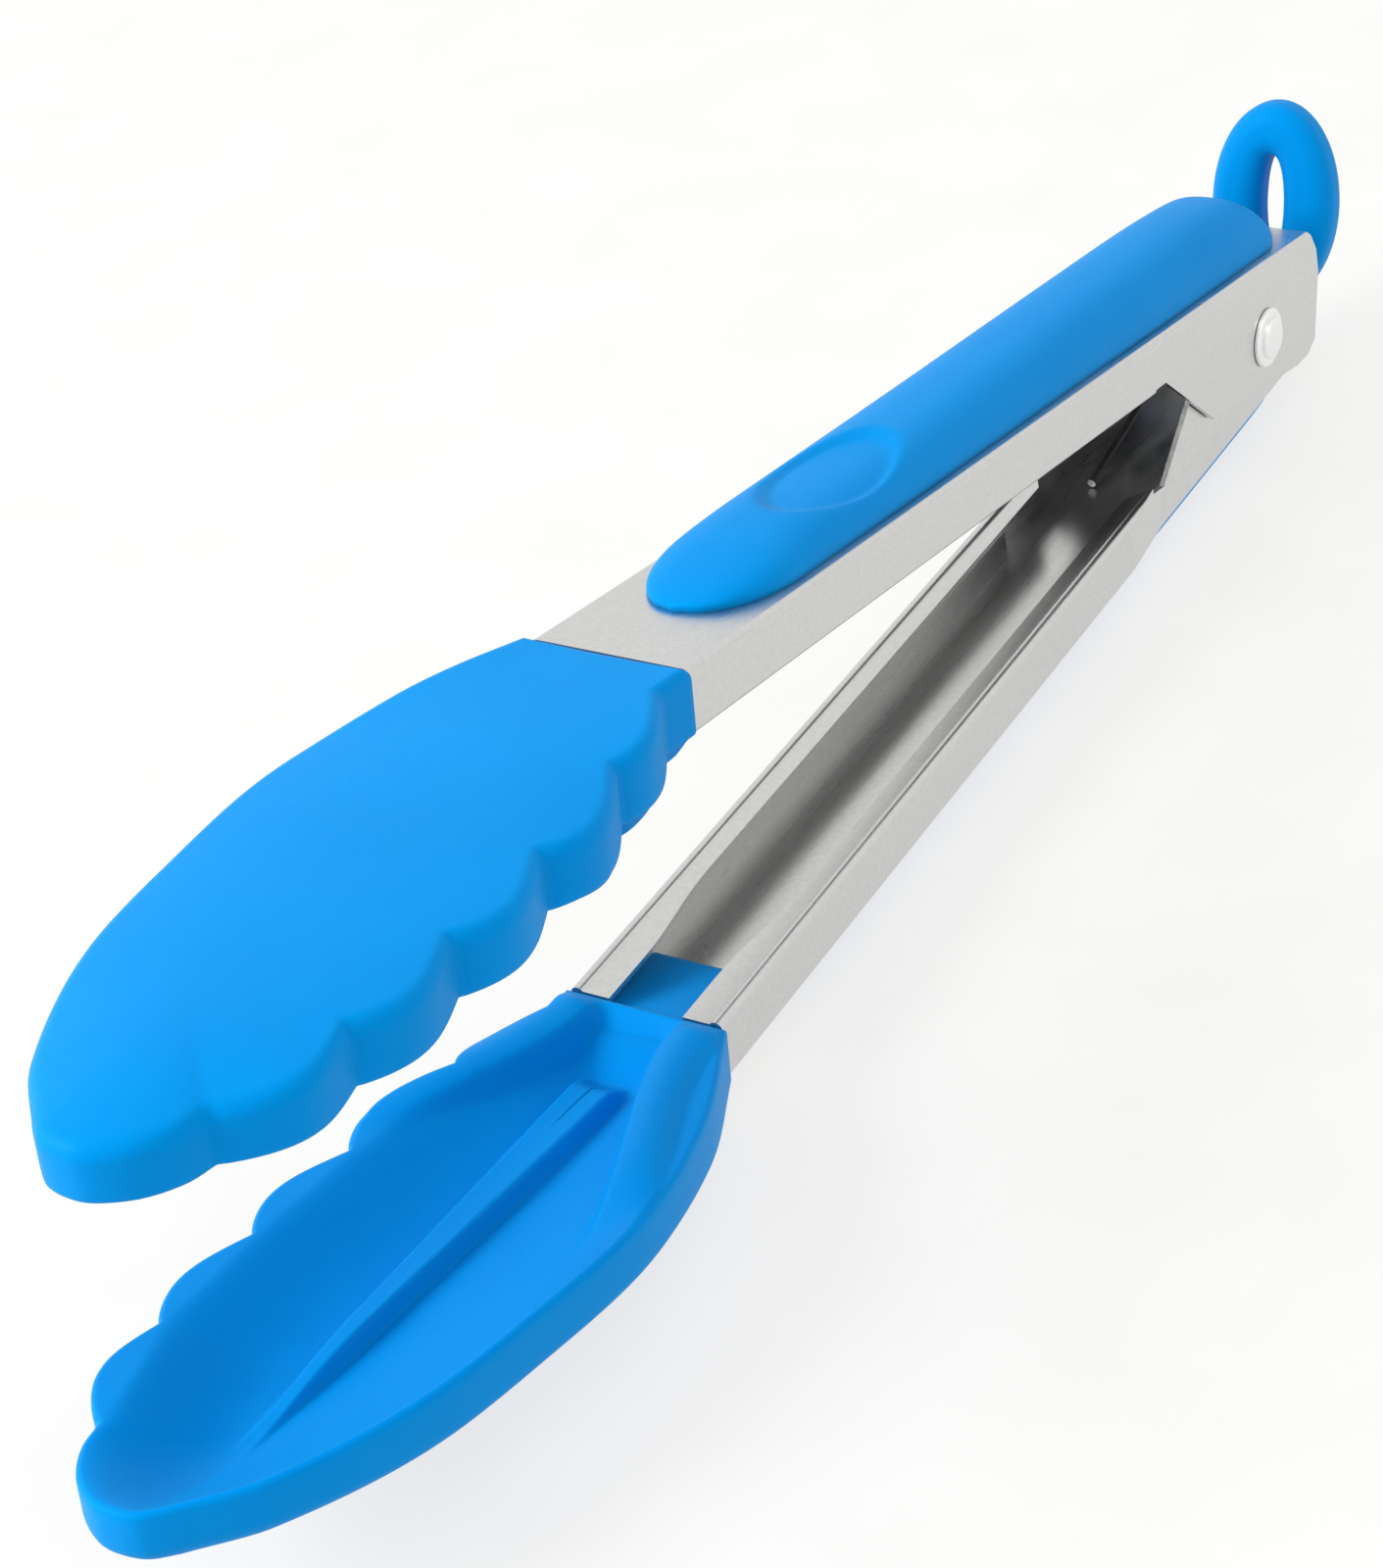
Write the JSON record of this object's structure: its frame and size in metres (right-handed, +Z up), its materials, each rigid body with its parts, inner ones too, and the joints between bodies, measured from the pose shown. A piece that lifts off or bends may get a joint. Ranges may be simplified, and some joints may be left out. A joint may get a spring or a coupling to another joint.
{
  "type": "kitchen tongs",
  "caption": "Spring loaded locking kitchen tongs: two folded steel arms on a rivet, blue silicone scoop heads and grip pads, and a pull loop at the tail.",
  "frame": {"origin": "centre of the bounding box on the plane that the lower grip pad rests on", "axes": "+X along the lower arm towards the pivot and tail, +Z up from the lower arm to the upper arm, +Y across the arms"},
  "size_m": [0.3316, 0.0476, 0.0779],
  "materials": {
    "steel": "satin stamped stainless steel",
    "bright_steel": "polished rivet and pin",
    "spring_steel": "drawn spring wire",
    "silicone": "matte blue silicone",
    "nylon": "dark blue nylon"
  },
  "bodies": {
    "lower": {"lower_arm": "steel", "lower_head": "silicone", "lower_head_core": "nylon", "lower_grip": "silicone", "lower_grip_carrier": "nylon", "pivot_rivet": "bright_steel", "spring_sleeve": "nylon", "torsion_spring": "spring_steel"},
    "upper": {"upper_arm": "steel", "upper_head": "silicone", "upper_head_core": "nylon", "upper_grip": "silicone", "upper_grip_carrier": "nylon"},
    "slider": {"lock_slider": "steel", "loop_pin": "bright_steel"},
    "loop": {"pull_loop": "silicone"}
  },
  "joints": [
    {"name": "arm_pivot", "type": "hinge", "parent": "lower", "child": "upper", "pos_m": [0.12529, 0, 0.0183], "axis": [0, -1, 0], "range_deg": [0, 8.3], "stiffness_Nm_per_rad": 1.2, "springref_deg": -22.92, "deforming": ["torsion_spring"]},
    {"name": "lock_slide", "type": "slide", "parent": "lower", "child": "slider", "axis": [1, 0, 0], "range_m": [0, 0.008]},
    {"name": "loop_swing", "type": "hinge", "parent": "slider", "child": "loop", "pos_m": [0.15618, 0, 0.012], "axis": [0, 1, 0], "range_deg": [0, 90]}
  ]
}
